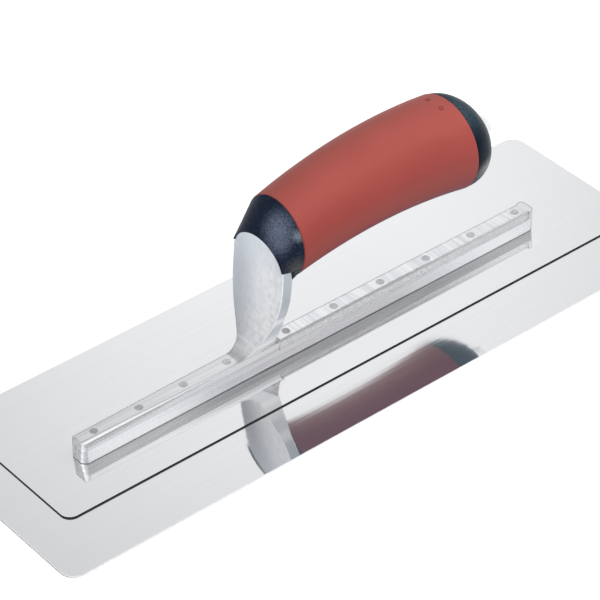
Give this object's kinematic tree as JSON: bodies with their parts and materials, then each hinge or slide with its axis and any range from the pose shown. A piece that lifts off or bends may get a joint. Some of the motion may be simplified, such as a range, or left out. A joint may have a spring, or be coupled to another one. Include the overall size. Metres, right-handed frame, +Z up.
{
  "type": "steel finishing trowel",
  "caption": "Flat rectangular steel blade on a riveted cast aluminium mounting, with an arched round soft grip handle above it for smoothing plaster or concrete.",
  "frame": {"origin": "centre of the blade's flat working face, on the surface the trowel rests on", "axes": "+X along the blade from the shank end towards the nut end of the handle, +Y across the blade, +Z up from the working face to the handle"},
  "size_m": [0.3556, 0.1142, 0.0984],
  "materials": {
    "polished_steel": "near-mirror stainless sheet, finely brushed along its length",
    "backing_steel": "thin stainless sheet, finely brushed along its length",
    "cast_aluminium": "cast, belt ground on its top, front and side faces, as cast in the recesses",
    "rivet_steel": "ground flush with the bar, darker than it",
    "collar_plastic": "dark navy, fine spark-eroded texture",
    "core_plastic": "dark navy moulding, hidden under the grip",
    "grip_rubber": "red matte soft-touch rubber",
    "cap_plastic": "dark navy, satin with a fine texture",
    "plated_steel": "bright zinc plated"
  },
  "bodies": {
    "root": {"blade": "polished_steel", "backing_plate": "backing_steel", "mounting": "cast_aluminium", "front_rivet_1": "rivet_steel", "front_rivet_2": "rivet_steel", "front_rivet_3": "rivet_steel", "front_rivet_4": "rivet_steel", "rear_rivet_1": "rivet_steel", "rear_rivet_2": "rivet_steel", "rear_rivet_3": "rivet_steel", "rear_rivet_4": "rivet_steel", "rear_rivet_5": "rivet_steel", "rear_rivet_6": "rivet_steel", "front_collar": "collar_plastic", "grip_core": "core_plastic", "soft_grip": "grip_rubber", "end_cap": "cap_plastic", "handle_stud": "plated_steel", "washer": "plated_steel", "handle_nut": "plated_steel"}
  },
  "joints": []
}
